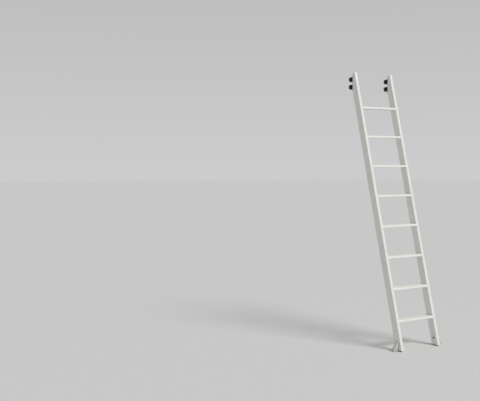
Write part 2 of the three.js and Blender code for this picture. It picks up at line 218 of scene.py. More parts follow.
def weld(piece, *others):
    """Join other meshes into a piece, each staying a closed shell of its own."""
    take(piece)
    for other in others:
        other.select_set(True)
    bpy.ops.object.join()
    return piece


def copy_of(piece, name, move=(0, 0, 0), mirrored=False):
    """A copy with its own mesh, moved, or mirrored to the other side of x = 0."""
    twin = piece.copy()
    twin.data = piece.data.copy()
    twin.name = name
    bpy.context.collection.objects.link(twin)
    twin.location = Vector(move)
    if mirrored:
        twin.scale.x = -1
    settle(twin)
    if mirrored:
        bpy.ops.object.mode_set(mode="EDIT")
        bpy.ops.mesh.select_all(action="SELECT")
        bpy.ops.mesh.normals_make_consistent(inside=False)
        bpy.ops.object.mode_set(mode="OBJECT")
    return twin


def coat(piece, material):
    piece.data.materials.clear()
    piece.data.materials.append(material)


def fit(piece, body, slot, *replaced):
    """Say which body a piece moves with and which frame nodes it stands for. The slot is not used."""
    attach(piece, body)
    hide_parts(*replaced)


print("helpers ready")

# %% [markdown]
# ## The camera
#
# The ladder is seen from the front and left of it, at about chest height. The lens is a normal one, a
# little tighter than the eye, so that the two stiles hardly converge. The camera is turned by its
# heading and tilt, and then rolled by a quarter of a degree.

# %% Camera
camera_place = (-3.679, -4.614, -0.661)
camera_heading = 28.15  # degrees from +Y towards +X
camera_tilt = -2.86
camera_roll = -0.24
lens_mm = 52.5

camera_data = bpy.data.cameras.new("viewpoint")
camera_data.lens = lens_mm
camera = bpy.data.objects.new("viewpoint", camera_data)
bpy.context.scene.collection.objects.link(camera)
aim = Euler((math.radians(90 + camera_tilt), 0, math.radians(-camera_heading))).to_matrix()
roll = Matrix.Rotation(math.radians(camera_roll), 3, "Z")
camera.location = camera_place
camera.rotation_euler = (aim @ roll).to_euler()
bpy.context.scene.camera = camera
print("camera at", camera_place)

# %% [markdown]
# ## Floor and light
#
# A plain pale floor under a pale sky, and one big soft light. The light stands high, in front and a
# little to the right, so the front faces of the boards and the tops of the treads are bright and the
# left faces are a clear step darker, which shows how thin and how deep the boards are. A sun lamp
# with a wide angle does this evenly over the whole floor. The sky is a touch brighter at the horizon,
# where it meets the floor, than overhead.

# %% Floor and light
floor_tone = 0.70
sun_direction = Vector((0.28, -0.62, 0.73))  # from the ladder towards the light
sun_strength = 1.97
sun_angle = 26
sky_low, sky_top = 0.61, 0.31

deselect_all()
bpy.ops.mesh.primitive_circle_add(vertices=96, radius=60, fill_type="NGON", location=(0, 0, floor_z))
floor = bpy.context.object
floor.name = "studio_floor"
floor_paint = bpy.data.materials.new("studio_floor")
floor_paint.use_nodes = True
floor_shader = floor_paint.node_tree.nodes["Principled BSDF"]
floor_shader.inputs["Base Color"].default_value = (floor_tone, floor_tone, floor_tone * 0.99, 1)
floor_shader.inputs["Roughness"].default_value = 0.9
floor_shader.inputs["Specular IOR Level"].default_value = 0.1
floor.data.materials.append(floor_paint)

sky = bpy.data.worlds.new("pale_sky")
bpy.context.scene.world = sky
sky.use_nodes = True
sky_nodes, sky_links = sky.node_tree.nodes, sky.node_tree.links
direction = sky_nodes.new("ShaderNodeTexCoord")
upward = sky_nodes.new("ShaderNodeSeparateXYZ")
fade = sky_nodes.new("ShaderNodeMapRange")
fade.inputs["From Max"].default_value = 0.8
fade.inputs["To Min"].default_value = sky_low
fade.inputs["To Max"].default_value = sky_top
sky_links.new(direction.outputs["Generated"], upward.inputs["Vector"])
sky_links.new(upward.outputs["Z"], fade.inputs["Value"])
sky_links.new(fade.outputs["Result"], sky_nodes["Background"].inputs["Strength"])
sky_nodes["Background"].inputs["Color"].default_value = (0.985, 0.99, 1.0, 1)

sun_data = bpy.data.lights.new("soft_sun", "SUN")
sun_data.energy = sun_strength
sun_data.angle = math.radians(sun_angle)
sun = bpy.data.objects.new("soft_sun", sun_data)
bpy.context.scene.collection.objects.link(sun)
sun.rotation_euler = (-sun_direction).to_track_quat("-Z", "Y").to_euler()
bpy.context.scene.view_settings.view_transform = "Standard"
print("one floor, one sky and one soft sun")

# %% [markdown]
# ## Shader sums written as Python
#
# A material is a sum of small effects: grain, brush marks, wear. Adding each Math node by hand hides
# the sum, so a small class wraps a socket, and `wear * 0.5 + grain` adds the nodes. Every other node
# comes from one method, `add`, which takes the node's type, its settings and its sockets.

# %% A class for sockets and a class for recipes
class Wire:
    """A number, colour or vector on its way through a material's nodes."""

    def __init__(self, recipe, socket):
        self.recipe = recipe
        self.socket = socket

    def maths(self, operation, *values):
        return self.recipe.add("ShaderNodeMath", {"operation": operation}, dict(enumerate(values)))

    def __add__(self, other):
        return self.maths("ADD", self, other)

    def __sub__(self, other):
        return self.maths("SUBTRACT", self, other)

    def __rsub__(self, other):
        return self.maths("SUBTRACT", other, self)

    def __mul__(self, other):
        return self.maths("MULTIPLY", self, other)

    def __pow__(self, power):
        return self.maths("POWER", self, power)

    __radd__ = __add__
    __rmul__ = __mul__

    def size(self):
        return self.maths("ABSOLUTE", self)

    def ramp(self, start, end):
        """0 below start, 1 above end, smooth between them."""
        sockets = {"Value": self, "From Min": start, "From Max": end}
        settings = {"interpolation_type": "SMOOTHSTEP", "clamp": True}
        return self.recipe.add("ShaderNodeMapRange", settings, sockets)


class Recipe:
    """One material: its nodes, its shader and the coordinates of the piece it is on."""

    def __init__(self, name, **constants):
        self.material = bpy.data.materials.new(name)
        self.material.use_nodes = True
        self.nodes = self.material.node_tree.nodes
        self.links = self.material.node_tree.links
        self.shader = self.nodes["Principled BSDF"]
        for socket, value in constants.items():
            self.shader.inputs[socket.replace("_", " ")].default_value = value
        self.place = self.add("ShaderNodeTexCoord", {}, {}, "Object")
        split = {"Vector": self.place}
        self.x = self.add("ShaderNodeSeparateXYZ", {}, split, "X")
        self.y = self.add("ShaderNodeSeparateXYZ", {}, split, "Y")
        self.z = self.add("ShaderNodeSeparateXYZ", {}, split, "Z")

    def add(self, kind, settings, sockets, output=0):
        node = self.nodes.new(kind)
        for name, value in settings.items():
            setattr(node, name, value)
        for name, value in sockets.items():
            if isinstance(value, Wire):
                self.links.new(value.socket, node.inputs[name])
            else:
                node.inputs[name].default_value = value
        return Wire(self, node.outputs[output])

    def vector(self, x, y, z):
        return self.add("ShaderNodeCombineXYZ", {}, {"X": x, "Y": y, "Z": z})

    def noise(self, vector, scale, detail=3.0, roughness=0.5):
        sockets = {"Vector": vector, "Scale": scale, "Detail": detail, "Roughness": roughness}
        return self.add("ShaderNodeTexNoise", {}, sockets)

    def mix(self, amount, first, second):
        """A colour between two colours."""
        first = first if isinstance(first, Wire) else (*first, 1)
        second = second if isinstance(second, Wire) else (*second, 1)
        sockets = {0: amount, 6: first, 7: second}
        return self.add("ShaderNodeMix", {"data_type": "RGBA"}, sockets, 2)

    def feed(self, socket, wire):
        self.links.new(wire.socket, self.shader.inputs[socket])

    def bump(self, height, distance, strength=1.0):
        sockets = {"Height": height, "Distance": distance, "Strength": strength}
        self.feed("Normal", self.add("ShaderNodeBump", {}, sockets))


print("recipes ready")

# %% [markdown]
# ## Brushed off-white paint on boards
#
# The boards are planed hardwood under two coats of satin paint, slightly warm. Up close the paint
# shows fine brush marks along each board, the wood's pores as faint lines under it, and a little
# cloudiness. Where hands and shoes rub, along the rounded edges, the paint is thinner and duller.
# The marks follow a board, so the recipe is given the direction of the board's length: along the
# lean for a stile and along X for a tread. Stretching the noise along that direction makes streaks
# out of spots.

# %% Paint
paint_colour = (0.825, 0.815, 0.780)
paint_shade = (0.765, 0.755, 0.715)
rubbed_colour = (0.66, 0.63, 0.57)


def board_paint(name, along, across, through, rubbed, plugs):
    """Paint whose streaks run along a board. rubbed and plugs are masks of worn places and filler."""
    recipe = Recipe(name, IOR=1.46)
    a, c, t = along(recipe), across(recipe), through(recipe)
    clouds = recipe.noise(recipe.place, 2.3, 4.0, 0.55)
    streaks = recipe.noise(recipe.vector(a * 3.0, c * 260.0, t * 260.0), 1.0, 4.0, 0.6)
    pores = recipe.noise(recipe.vector(a * 14.0, c * 700.0, t * 700.0), 1.0, 2.0, 0.5)
    open_pores = pores.ramp(0.56, 0.68)
    worn = rubbed(recipe) * recipe.noise(recipe.place, 38.0, 5.0, 0.65).ramp(0.42, 0.66)
    painted = recipe.mix(clouds.ramp(0.30, 0.72) * 0.55, paint_colour, paint_shade)
    painted = recipe.mix(streaks.ramp(0.35, 0.70) * 0.22, painted, paint_shade)
    painted = recipe.mix(open_pores * 0.10, painted, rubbed_colour)
    filler = plugs(recipe)
    painted = recipe.mix(filler * 0.25, painted, rubbed_colour)
    recipe.feed("Base Color", recipe.mix(worn * 0.45, painted, rubbed_colour))
    recipe.feed("Roughness", 0.36 + streaks * 0.14 + clouds * 0.08 + worn * 0.12)
    recipe.bump(streaks * 0.5 - open_pores * 0.6 - worn * 0.3 - filler * 0.5, 0.0004, 0.55)
    return recipe.material


def stile_rub(recipe):
    """Rubbed along the front arrises, most of all where hands hold the stiles."""
    behind = recipe.y - recipe.z * slope - front_offset
    near_front = 1 - behind.size().ramp(0.0005, 0.006)
    half = (outer_x - inner_x) / 2
    near_edge = (recipe.x.size() - stile_x).size().ramp(half - 0.003, half)
    return near_front * 0.6 + near_edge * near_front * 0.8


def tread_rub(recipe):
    """Rubbed along the nosing, most of all in the middle where shoes land."""
    behind = recipe.y - recipe.z * slope - front_offset
    near_front = 1 - behind.size().ramp(0.002, 0.016)
    middle_run = 1 - recipe.x.size().ramp(0.03, inner_x)
    return near_front * (0.35 + middle_run * 0.65)


def no_plugs(recipe):
    return 0.0


plug_radius = 0.005
plug_places = (0.3, 0.7)  # shares of the board's level depth


def stile_plugs(recipe):
    """Thin rings of filler where each tread's screws are plugged on the outer face of a stile."""
    first = (tread_low.z + tread_high.z) / 2
    steps = (recipe.z - first) * (1 / tread_rise) + 0.5
    above = (steps.maths("FRACT", steps) - 0.5) * tread_rise
    behind = recipe.y - (recipe.z - above) * slope - front_offset
    rings = 0.0
    for place in plug_places:
        radius = ((behind - level_depth * place) ** 2 + above**2) ** 0.5
        rings = (1 - (radius - plug_radius).size().ramp(0.0001, 0.0005)) + rings
    beside_treads = recipe.z.maths("LESS_THAN", recipe.z, top_tread_low.z + 0.05)
    return rings * beside_treads * recipe.x.size().ramp(outer_x - 0.0006, outer_x - 0.0003)


def along_lean(recipe):
    return recipe.z * math.cos(lean) + recipe.y * math.sin(lean)


def across_lean(recipe):
    return recipe.y * math.cos(lean) - recipe.z * math.sin(lean)


stile_paint = board_paint("stile_paint", along_lean, across_lean, lambda r: r.x, stile_rub, stile_plugs)
tread_paint = board_paint(
    "tread_paint", lambda r: r.x, lambda r: r.y, lambda r: r.z, tread_rub, no_plugs
)
print("paint mixed for stiles and treads")

# %% [markdown]
# ## The stiles
#
# Each stile is one straight board. A joiner cuts it to length square, cuts the foot level, saws a
# plumb face off the back of the top for the roller carriage, rounds the long edges and then saws
# eight level slots that take the treads' ends. The script does the same: a long block is tipped to
# the lean, bisected on the three planes, bevelled, and the slots are carved.

# %% Stiles
arris = 0.0022
sliver = 1e-4  # points of a board nearer than this are one point

def trim(plane_point, plane_normal):
    """Saw off everything beyond a plane and close the cut."""
    bpy.ops.mesh.select_all(action="SELECT")
    bpy.ops.mesh.bisect(
        plane_co=plane_point, plane_no=plane_normal, use_fill=True, clear_outer=True, clear_inner=False
    )


def make_stile(name):
    board_length = (stile_high.z - stile_low.z) / math.cos(lean) + 0.3
    depth = level_depth * math.cos(lean)
    middle_z = (stile_high.z + stile_low.z) / 2
    centre = Vector((stile_x, front_edge_y(middle_z) + level_depth / 2, middle_z))
    deselect_all()
    bpy.ops.mesh.primitive_cube_add(
        size=1, location=centre, rotation=(-lean, 0, 0), scale=(outer_x - inner_x, depth, board_length)
    )
    board = bpy.context.object
    board.name = name
    settle(board)
    edit(board)
    along = Vector((0, math.sin(lean), math.cos(lean)))
    top_corner = Vector((0, front_edge_y(stile_high.z), stile_high.z))
    trim(Vector((0, 0, stile_low.z)), (0, 0, -1))
    trim(Vector((0, plumb_y, 0)), (0, 1, 0))
    trim(top_corner, along)
    leave_edit()
    soften(board, arris, segments=5)
    slots = []
    for i in range(1, tread_count + 1):
        low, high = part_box(f"tread_{i}")
        slots.append(
            add_block(
                f"slot_{i}",
                (inner_x - 0.01, low.y - 0.03, low.z - crack),
                (high.x + crack, high.y + 0.03, high.z + crack),
            )
        )
    carve(board, weld(*slots))
    edit(board)
    bpy.ops.mesh.select_all(action="SELECT")
    bpy.ops.mesh.remove_doubles(threshold=sliver)
    leave_edit()
    smooth(board)
    coat(board, stile_paint)
    return board


stile_right = make_stile("shaped_stile_right")
stile_left = copy_of(stile_right, "shaped_stile_left", mirrored=True)
fit(stile_right, "ladder", "painted_wood", "stile_right")
fit(stile_left, "ladder", "painted_wood", "stile_left")
print("stiles:", len(stile_right.data.polygons), "faces each")

# %% [markdown]
# ## The treads
#
# A tread is a level board whose front and back edges are planed to the lean, so that they lie flush
# with the stiles. Its front edges are rounded generously, because bare shins and shoe soles meet
# them. A block becomes that shape when its top face is slid back by the thickness times the slope,
# and then the four long edges are bevelled by their place.

# %% Treads
nosing = 0.005
back_arris = 0.002
tread_inset = 0.001  # how far a tread's back edge stays inside the stiles'


def make_tread(name, node):
    low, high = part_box(node)
    middle_z = (low.z + high.z) / 2
    bottom_front = front_edge_y(low.z)
    depth = level_depth - tread_inset
    board = add_block(name, (low.x, bottom_front, low.z), (high.x, bottom_front + depth, high.z))
    edit(board)
    pick("faces", lambda face, m: m.z > high.z - on_plane)
    bpy.ops.transform.translate(value=(0, (high.z - low.z) * slope, 0))
    halfway = front_edge_y(middle_z) + depth / 2
    pick("edges", lambda edge, m: runs_along(edge, "x", 0.1) and m.y < halfway)
    bpy.ops.mesh.bevel(offset=nosing, segments=7, affect="EDGES")
    pick("edges", lambda edge, m: runs_along(edge, "x", 0.1) and m.y > halfway + depth / 4)
    bpy.ops.mesh.bevel(offset=back_arris, segments=4, affect="EDGES")
    leave_edit()
    smooth(board)
    coat(board, tread_paint)
    return board


for i in range(1, tread_count + 1):
    board = make_tread(f"shaped_tread_{i}", f"tread_{i}")
    fit(board, "ladder", "painted_wood", f"tread_{i}")
print("treads:", tread_count, "with", len(board.data.polygons), "faces each")

# %% [markdown]
# ## Turning on a lathe
#
# Rollers, bushes, wheels and bolts are round. A turner draws half a section and spins it. So does
# this helper: it draws the half section point by point by extruding one vertex, spins the line all
# the way round, and merges the seam. Each point is a radius and a distance along the axis.

# %% A lathe
directions = {
    "X": (Vector((1, 0, 0)), Vector((0, 1, 0))),
    "Y": (Vector((0, 1, 0)), Vector((1, 0, 0))),
    "Z": (Vector((0, 0, 1)), Vector((1, 0, 0))),
}


def turned(name, axis, centre, profile, sides=64):
    """A body of revolution about a line through centre. A profile may close on itself."""
    along, out = directions[axis]
    points = [Vector(centre) + out * radius + along * distance for radius, distance in profile]
    deselect_all()
    bpy.ops.mesh.primitive_plane_add(size=0.001, location=points[0])
    piece = bpy.context.object
    piece.name = name
    bpy.ops.object.mode_set(mode="EDIT")
    bpy.ops.mesh.select_mode(type="VERT")
    bpy.ops.mesh.select_all(action="SELECT")
    bpy.ops.mesh.merge(type="CENTER")
    for start, end in zip(points, points[1:]):
        bpy.ops.mesh.extrude_region_move(TRANSFORM_OT_translate={"value": end - start})
    bpy.ops.mesh.select_all(action="SELECT")
    bpy.ops.mesh.spin(steps=sides, angle=math.tau, center=Vector(centre), axis=along)
    bpy.ops.mesh.select_all(action="SELECT")
    bpy.ops.mesh.remove_doubles(threshold=merge_distance)
    bpy.ops.mesh.normals_make_consistent(inside=False)
    leave_edit()
    settle(piece)
    return piece


def arc(centre, radius, start, end, steps):
    """Profile points on an arc, angles in degrees from the radial direction."""
    angles = [math.radians(start + (end - start) * i / steps) for i in range(steps + 1)]
    return [(centre[0] + radius * math.cos(a), centre[1] + radius * math.sin(a)) for a in angles]


def middle_of(node):
    low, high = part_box(node)
    return (low + high) / 2


def reach(node, axis, test):
    """Lowest and highest coordinate on one axis of those corners of a frame node that pass a test."""
    values = [getattr(v.co, axis) for v in nodes[node].data.vertices if test(v.co)]
    return min(values), max(values)


print("lathe ready")

# %% [markdown]
# ## Turned black nylon
#
# The rollers are turned from black nylon rod. A turned face shows very fine rings about its axis,
# and where the steel rail has run, the saddle is burnished smoother than the sides. The four rollers
# sit at mirrored places, so folding x and z with an absolute value gives one distance for them all.

# %% Nylon
roller_low, roller_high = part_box("upper_roller_right")
roller_centre = middle_of("upper_roller_right")
roller_radius = (roller_high.z - roller_low.z) / 2
ring_pitch = 0.00035


def distance_from(recipe, x, z):
    """Distance from the nearest of the lines along Y at plus or minus x and plus or minus z."""
    return ((recipe.x.size() - x) ** 2 + (recipe.z.size() - z) ** 2) ** 0.5


def turned_nylon(colour, dusty):
    recipe = Recipe("roller_nylon", IOR=1.53)
    radius = distance_from(recipe, roller_centre.x, roller_centre.z)
    rings = radius.maths("SINE", radius * (math.tau / ring_pitch))
    mottle = recipe.noise(recipe.place, 160.0, 4.0, 0.6)
    dust = recipe.noise(recipe.place, 420.0, 3.0, 0.7).ramp(0.52, 0.75)
    burnished = radius.ramp(roller_radius - 0.0015, roller_radius)
    tone = recipe.mix(mottle.ramp(0.3, 0.75), colour, dusty)
    recipe.feed("Base Color", recipe.mix(dust * (1 - burnished) * 0.25, tone, (0.20, 0.19, 0.18)))
    recipe.feed("Roughness", 0.46 + mottle * 0.12 - burnished * 0.12 + dust * 0.10)
    recipe.bump(rings * 0.25 + mottle * 0.5, 0.00012, 0.5)
    return recipe.material


roller_nylon = turned_nylon((0.011, 0.011, 0.012), (0.022, 0.022, 0.022))
print("nylon mixed")

# %% [markdown]
# ## The rail rollers
#
# Each roller is a saddle: its groove is an arc of the rail's own radius about the rail's centre line,
# which is the origin, so the roller hugs the pipe. Its sides are dished to leave a hub and a rim.
# The half section is drawn with the arc as a loop, spun about the roller's bolt, and its corners are
# then softened. One roller is made and three copies are moved to their bolts.

# %% Rail rollers
rail_radius = 0.01335  # a three-quarter inch pipe
roller_half = (roller_high.y - roller_low.y) / 2
saddle_radius = rail_radius + crack
bush_low, bush_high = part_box("upper_roller_bush_right")
bush_radius = (bush_high.z - bush_low.z) / 2
roller_bore = bush_radius + crack
hub_wall, rim_wall, dish = 0.003, 0.005, 0.003
dish_corner = 0.0012


def make_roller(name):
    hub = roller_bore + hub_wall
    rim = roller_radius - rim_wall
    lowest = roller_centre.z - roller_radius
    saddle_half = math.sqrt(saddle_radius**2 - lowest**2)
    steps = 14
    saddle = []
    for i in range(steps + 1):
        along = saddle_half * math.sin(math.pi / 2 * (2 * i / steps - 1))
        saddle.append((roller_centre.z - math.sqrt(saddle_radius**2 - along**2), along))
    side = [
        (roller_bore, roller_half),
        (hub, roller_half),
        (hub + dish_corner / 2, roller_half - dish + dish_corner),
        (hub + dish_corner * 1.5, roller_half - dish),
        (rim - dish_corner * 1.5, roller_half - dish),
        (rim - dish_corner / 2, roller_half - dish + dish_corner),
        (rim, roller_half),
        (roller_radius - 0.0009, roller_half),
        (roller_radius, roller_half - 0.0009),
    ]
    front = [(radius, -along) for radius, along in side]
    profile = front + saddle + side[::-1] + [front[0]]
    roller = turned(name, "Y", roller_centre, profile, 72)
    soften(roller, 0.00035, segments=2, angle=25)
    smooth(roller, 40)
    coat(roller, roller_nylon)
    return roller


hands = {"right": 1, "left": -1}
levels = {"upper": 1, "lower": -1}
def at_all_four(height, *kinds):
    """Fit upper right pieces, and copies of them at the three other places, to their bodies.

    Each kind is a piece, its node's name without level and hand, its slot and whether it turns.
    """
    for hand, x_sign in hands.items():
        for level, z_sign in levels.items():
            move = ((x_sign - 1) * roller_centre.x, 0, (z_sign - 1) * height)
            for piece, kind, slot, turns in kinds:
                if (hand, level) != ("right", "upper"):
                    piece = copy_of(piece, f"fine_{level}_{kind}_{hand}", move)
                body = f"{level}_rail_roller_{hand}" if turns else "ladder"
                fit(piece, body, slot, f"{level}_{kind}_{hand}")


first_roller = make_roller("fine_upper_roller_right")
at_all_four(roller_centre.z, (first_roller, "roller", "roller_nylon", True))
print("rollers: radius", round(roller_radius, 4), "m")
print("each with", len(first_roller.data.polygons), "faces")

# %% [markdown]
# ## Bronze bushes and black-oxide bolts
#
# A bush is a plain ring of oil-filled sintered bronze: tiny pores, and a darker oily bloom. The bolts
# and screws are steel with a black oxide finish. Black oxide is thin, so a bolt's corners and the
# rim of its socket show brighter metal, and there is a faint brown cast where the oil has dried.

# %% Bronze and dark steel
def sintered_bronze():
    recipe = Recipe("bronze", Metallic=1.0)
    pores = recipe.noise(recipe.place, 1800.0, 2.0, 0.5).ramp(0.55, 0.66)
    oil = recipe.noise(recipe.place, 240.0, 4.0, 0.6)
    tone = recipe.mix(oil.ramp(0.35, 0.7), (0.46, 0.30, 0.13), (0.30, 0.19, 0.08))
    recipe.feed("Base Color", recipe.mix(pores * 0.7, tone, (0.10, 0.06, 0.03)))
    recipe.feed("Roughness", 0.30 + oil * 0.20 + pores * 0.25)
    recipe.bump(1 - pores, 0.00006, 0.5)
    return recipe.material


def black_oxide():
    recipe = Recipe("dark_steel", Metallic=0.85)
    patches = recipe.noise(recipe.place, 220.0, 5.0, 0.65)
    along_axis = recipe.vector(recipe.x * 900.0, recipe.y * 90.0, recipe.z * 900.0)
    scratches = recipe.noise(along_axis, 1.0, 3.0, 0.6)
    rubbed = scratches.ramp(0.60, 0.74) * patches.ramp(0.40, 0.62)
    dark = recipe.mix(patches.ramp(0.30, 0.70), (0.030, 0.029, 0.028), (0.052, 0.043, 0.036))
    recipe.feed("Base Color", recipe.mix(rubbed * 0.6, dark, (0.24, 0.23, 0.22)))
    recipe.feed("Roughness", 0.34 + patches * 0.18 - rubbed * 0.08)
    recipe.bump(scratches * 0.4 + patches * 0.4, 0.00004, 0.4)
    return recipe.material


bronze = sintered_bronze()
dark_steel = black_oxide()
print("metals mixed")

# %% [markdown]
# ## Bolts, sockets and bushes of the rollers
#
# Each roller turns on a shoulder bolt: a threaded end in the boss, a smooth shoulder inside the bush,
# and a domed head with a hexagon socket, behind the roller where a key reaches it. The thread is cut
# as small grooves in the half section. The socket is carved with a six-sided cylinder, and its mouth is
# countersunk with a turned cone.

# %% Roller bolts and bushes
bolt_low, bolt_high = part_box("upper_roller_bolt_right")
bolt_head_radius = (bolt_high.x - bolt_low.x) / 2
shoulder_radius = 0.004
thread_radius = 0.0035
thread_pitch = 0.00125
bush_wall = 0.002
socket_flats = 0.005
socket_depth = 0.0028
hexagon_turn = 0.23  # a nut stops where its thread is tight, not square to the ladder


def thread(radius, start, end, pitch, depth=0.0004):
    """Half section of a thread, as one small groove for each turn."""
    turns = int((end - start) / pitch)
    points = []
    for i in range(turns):
        crest = start + i * pitch
        flank_end = crest + pitch * 0.35
        points += [(radius, crest), (radius, flank_end), (radius - depth, crest + pitch * 0.7)]
    return points + [(radius, start + turns * pitch), (radius, end)]


def six_sided(name, axis, centre, flats, low, high):
    """A hexagonal prism along an axis."""
    along, _ = directions[axis]
    turn = Quaternion(along, hexagon_turn) @ Vector((0, 0, 1)).rotation_difference(along)
    deselect_all()
    bpy.ops.mesh.primitive_cylinder_add(
        vertices=6,
        radius=flats / math.sqrt(3),
        depth=high - low,
        location=Vector(centre) + along * (low + high) / 2,
        rotation=turn.to_euler(),
    )
    piece = bpy.context.object
    piece.name = name
    settle(piece)
    return piece


def make_roller_bolt(name):
    centre = Vector((roller_centre.x, 0, roller_centre.z))
    shoulder_start = bush_low.y
    head_start = bush_high.y + crack
    head = bolt_head_radius
    dome = arc((head - 0.0016, bolt_high.y - 0.0016), 0.0016, 0, 90, 5)
    profile = [(0, bolt_low.y), (thread_radius - 0.0006, bolt_low.y)]
    profile += thread(thread_radius, bolt_low.y + 0.0006, shoulder_start - 0.001, thread_pitch)
    profile += [
        (thread_radius - 0.0003, shoulder_start - 0.0005),
        (thread_radius - 0.0003, shoulder_start),
        (shoulder_radius, shoulder_start),
        (shoulder_radius, head_start),
        (head - 0.0004, head_start),
        (head, head_start + 0.0004),
    ]
    profile += dome + [(0, bolt_high.y)]
    bolt = turned(name, "Y", centre, profile, 48)
    end = bolt_high.y
    socket = six_sided("socket", "Y", centre, socket_flats, end - socket_depth, end + 0.001)
    mouth = socket_flats / 2
    cone = [(0, end - 0.0004), (mouth, end - 0.0004), (mouth + 0.0009, end + 0.0005), (0, end + 0.0005)]
    carve(bolt, socket, turned("lead", "Y", centre, cone, 48))
    smooth(bolt, 32)
    coat(bolt, dark_steel)
    return bolt


def make_bush(name):
    inner, outer = bush_radius - bush_wall, bush_radius
    low, high = bush_low.y, bush_high.y
    centre = Vector((roller_centre.x, 0, roller_centre.z))
    chamfer = 0.0003
    profile = [
        (inner, low + chamfer),
        (inner + chamfer, low),
        (outer - chamfer, low),
        (outer, low + chamfer),
        (outer, high - chamfer),
        (outer - chamfer, high),
        (inner + chamfer, high),
        (inner, high - chamfer),
        (inner, low + chamfer),
    ]
    bush = turned(name, "Y", centre, profile, 48)
    smooth(bush, 30)
    coat(bush, bronze)
    return bush


first_bolt = make_roller_bolt("fine_upper_roller_bolt_right")
first_bush = make_bush("fine_upper_roller_bush_right")
at_all_four(
    roller_centre.z,
    (first_bolt, "roller_bolt", "dark_steel", False),
    (first_bush, "roller_bush", "bronze", True),
)
print("roller bolts:", len(first_bolt.data.polygons), "faces each")

# %% [markdown]
# ## Powder-coated plate
#
# The carriage plate is steel under satin black powder coat. Powder flows into a skin like orange
# peel: a soft bump of about a millimetre. It is chipped a little near the screws' seats.

# %% Powder coat
def powder_coat(name, colour, worn_colour):
    recipe = Recipe(name, IOR=1.5)
    peel = recipe.noise(recipe.place, 900.0, 2.0, 0.5)
    haze = recipe.noise(recipe.place, 60.0, 4.0, 0.55)
    chips = recipe.noise(recipe.place, 480.0, 3.0, 0.7).ramp(0.66, 0.70) * haze.ramp(0.50, 0.66)
    tone = recipe.mix(haze.ramp(0.3, 0.7) * 0.6, colour, tuple(c * 1.7 + 0.004 for c in colour))
    recipe.feed("Base Color", recipe.mix(chips, tone, worn_colour))
    recipe.feed("Roughness", 0.38 + haze * 0.16 + chips * 0.15)
    recipe.bump(peel - chips * 0.6, 0.00010, 0.45)
    return recipe.material


black_steel = powder_coat("black_steel", (0.016, 0.016, 0.017), (0.16, 0.15, 0.14))
print("powder coat mixed")

# %% [markdown]
# ## The carriage plates
#
# A carriage plate is a flat bar with rounded corners on the stile's plumb face. Two turned bosses
# stand on it and hold the rollers away from the wood. Each boss is welded on, so a small fillet runs
# round its foot. The bar starts as a block whose corner edges are bevelled, the bosses are turned and
# joined with a boolean, and the screws' seats and the threaded holes are carved.

# %% Carriage plates
plate_low, plate_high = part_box("carriage_plate_right")
_, plate_back = reach("carriage_plate_right", "y", lambda v: abs(v.z) > plate_high.z - 0.002)
screw_low, screw_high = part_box("upper_plate_screw_right")
plate_screw_z = (screw_low.z + screw_high.z) / 2
screw_head_radius = (screw_high.z - screw_low.z) / 2
screw_shank_radius = 0.002
boss_radius = 0.008
fillet = 0.0022
plate_corner = 0.003
plate_edge = 0.0006


def screw_seat(name, centre, back):
    """Cutter for a countersunk screw whose head lies at back, along +Y."""
    head = screw_head_radius + crack
    shank = screw_shank_radius + crack
    profile = [
        (0, back - 0.02),
        (shank, back - 0.02),
        (shank, back - 0.0004 - (head - shank)),
        (head, back - 0.0004),
        (head, back + 0.002),
        (0, back + 0.002),
    ]
    return turned(name, "Y", centre, profile, 40)


def make_plate(name):
    plate = add_block(name, plate_low, (plate_high.x, plate_back, plate_high.z))
    edit(plate)
    pick("edges", lambda edge, m: runs_along(edge, "y"))
    bpy.ops.mesh.bevel(offset=plate_corner, segments=6, affect="EDGES")
    leave_edit()
    soften(plate, plate_edge, segments=3, angle=50)
    for sign in levels.values():
        centre = Vector((roller_centre.x, 0, sign * roller_centre.z))
        foot = arc((boss_radius + fillet, plate_back + fillet), fillet, 270, 180, 5)
        profile = [(0, plate_back - 0.002), (boss_radius + fillet, plate_back - 0.002)] + foot
        profile += [
            (boss_radius, plate_high.y - plate_edge),
            (boss_radius - plate_edge, plate_high.y),
            (0, plate_high.y),
        ]
        boss = turned("boss", "Y", centre, profile, 56)
        apply_modifier(plate, "BOOLEAN", operation="UNION", object=boss, solver="EXACT")
        bpy.data.objects.remove(boss, do_unlink=True)
        hole = (thread_radius + crack, plate_low.y - 0.001)
        bore = [(0, hole[1]), hole, (hole[0], plate_high.y + 0.001), (0, plate_high.y + 0.001)]
        seat = screw_seat("seat", Vector((roller_centre.x, 0, sign * plate_screw_z)), plate_back)
        carve(plate, turned("bore", "Y", centre, bore, 40), seat)
    smooth(plate, 35)
    coat(plate, black_steel)
    return plate


plate_right = make_plate("fine_carriage_plate_right")
plate_left = copy_of(plate_right, "fine_carriage_plate_left", (-2 * roller_centre.x, 0, 0))
fit(plate_right, "ladder", "black_steel", "carriage_plate_right")
fit(plate_left, "ladder", "black_steel", "carriage_plate_left")
print("carriage plates:", len(plate_right.data.polygons), "faces each")

# %% [markdown]
# ## Countersunk wood screws
#
# The plates and the foot pads are held by countersunk screws with a cross recess. The screw is turned
# along +Y, its recess is two tapered slots carved at right angles, and copies go to the plates. For
# the pads the same screw is turned to point up into the stile.

# %% Countersunk screws
recess_width = 0.0011
recess_depth = 0.0016
recess_taper = 0.45


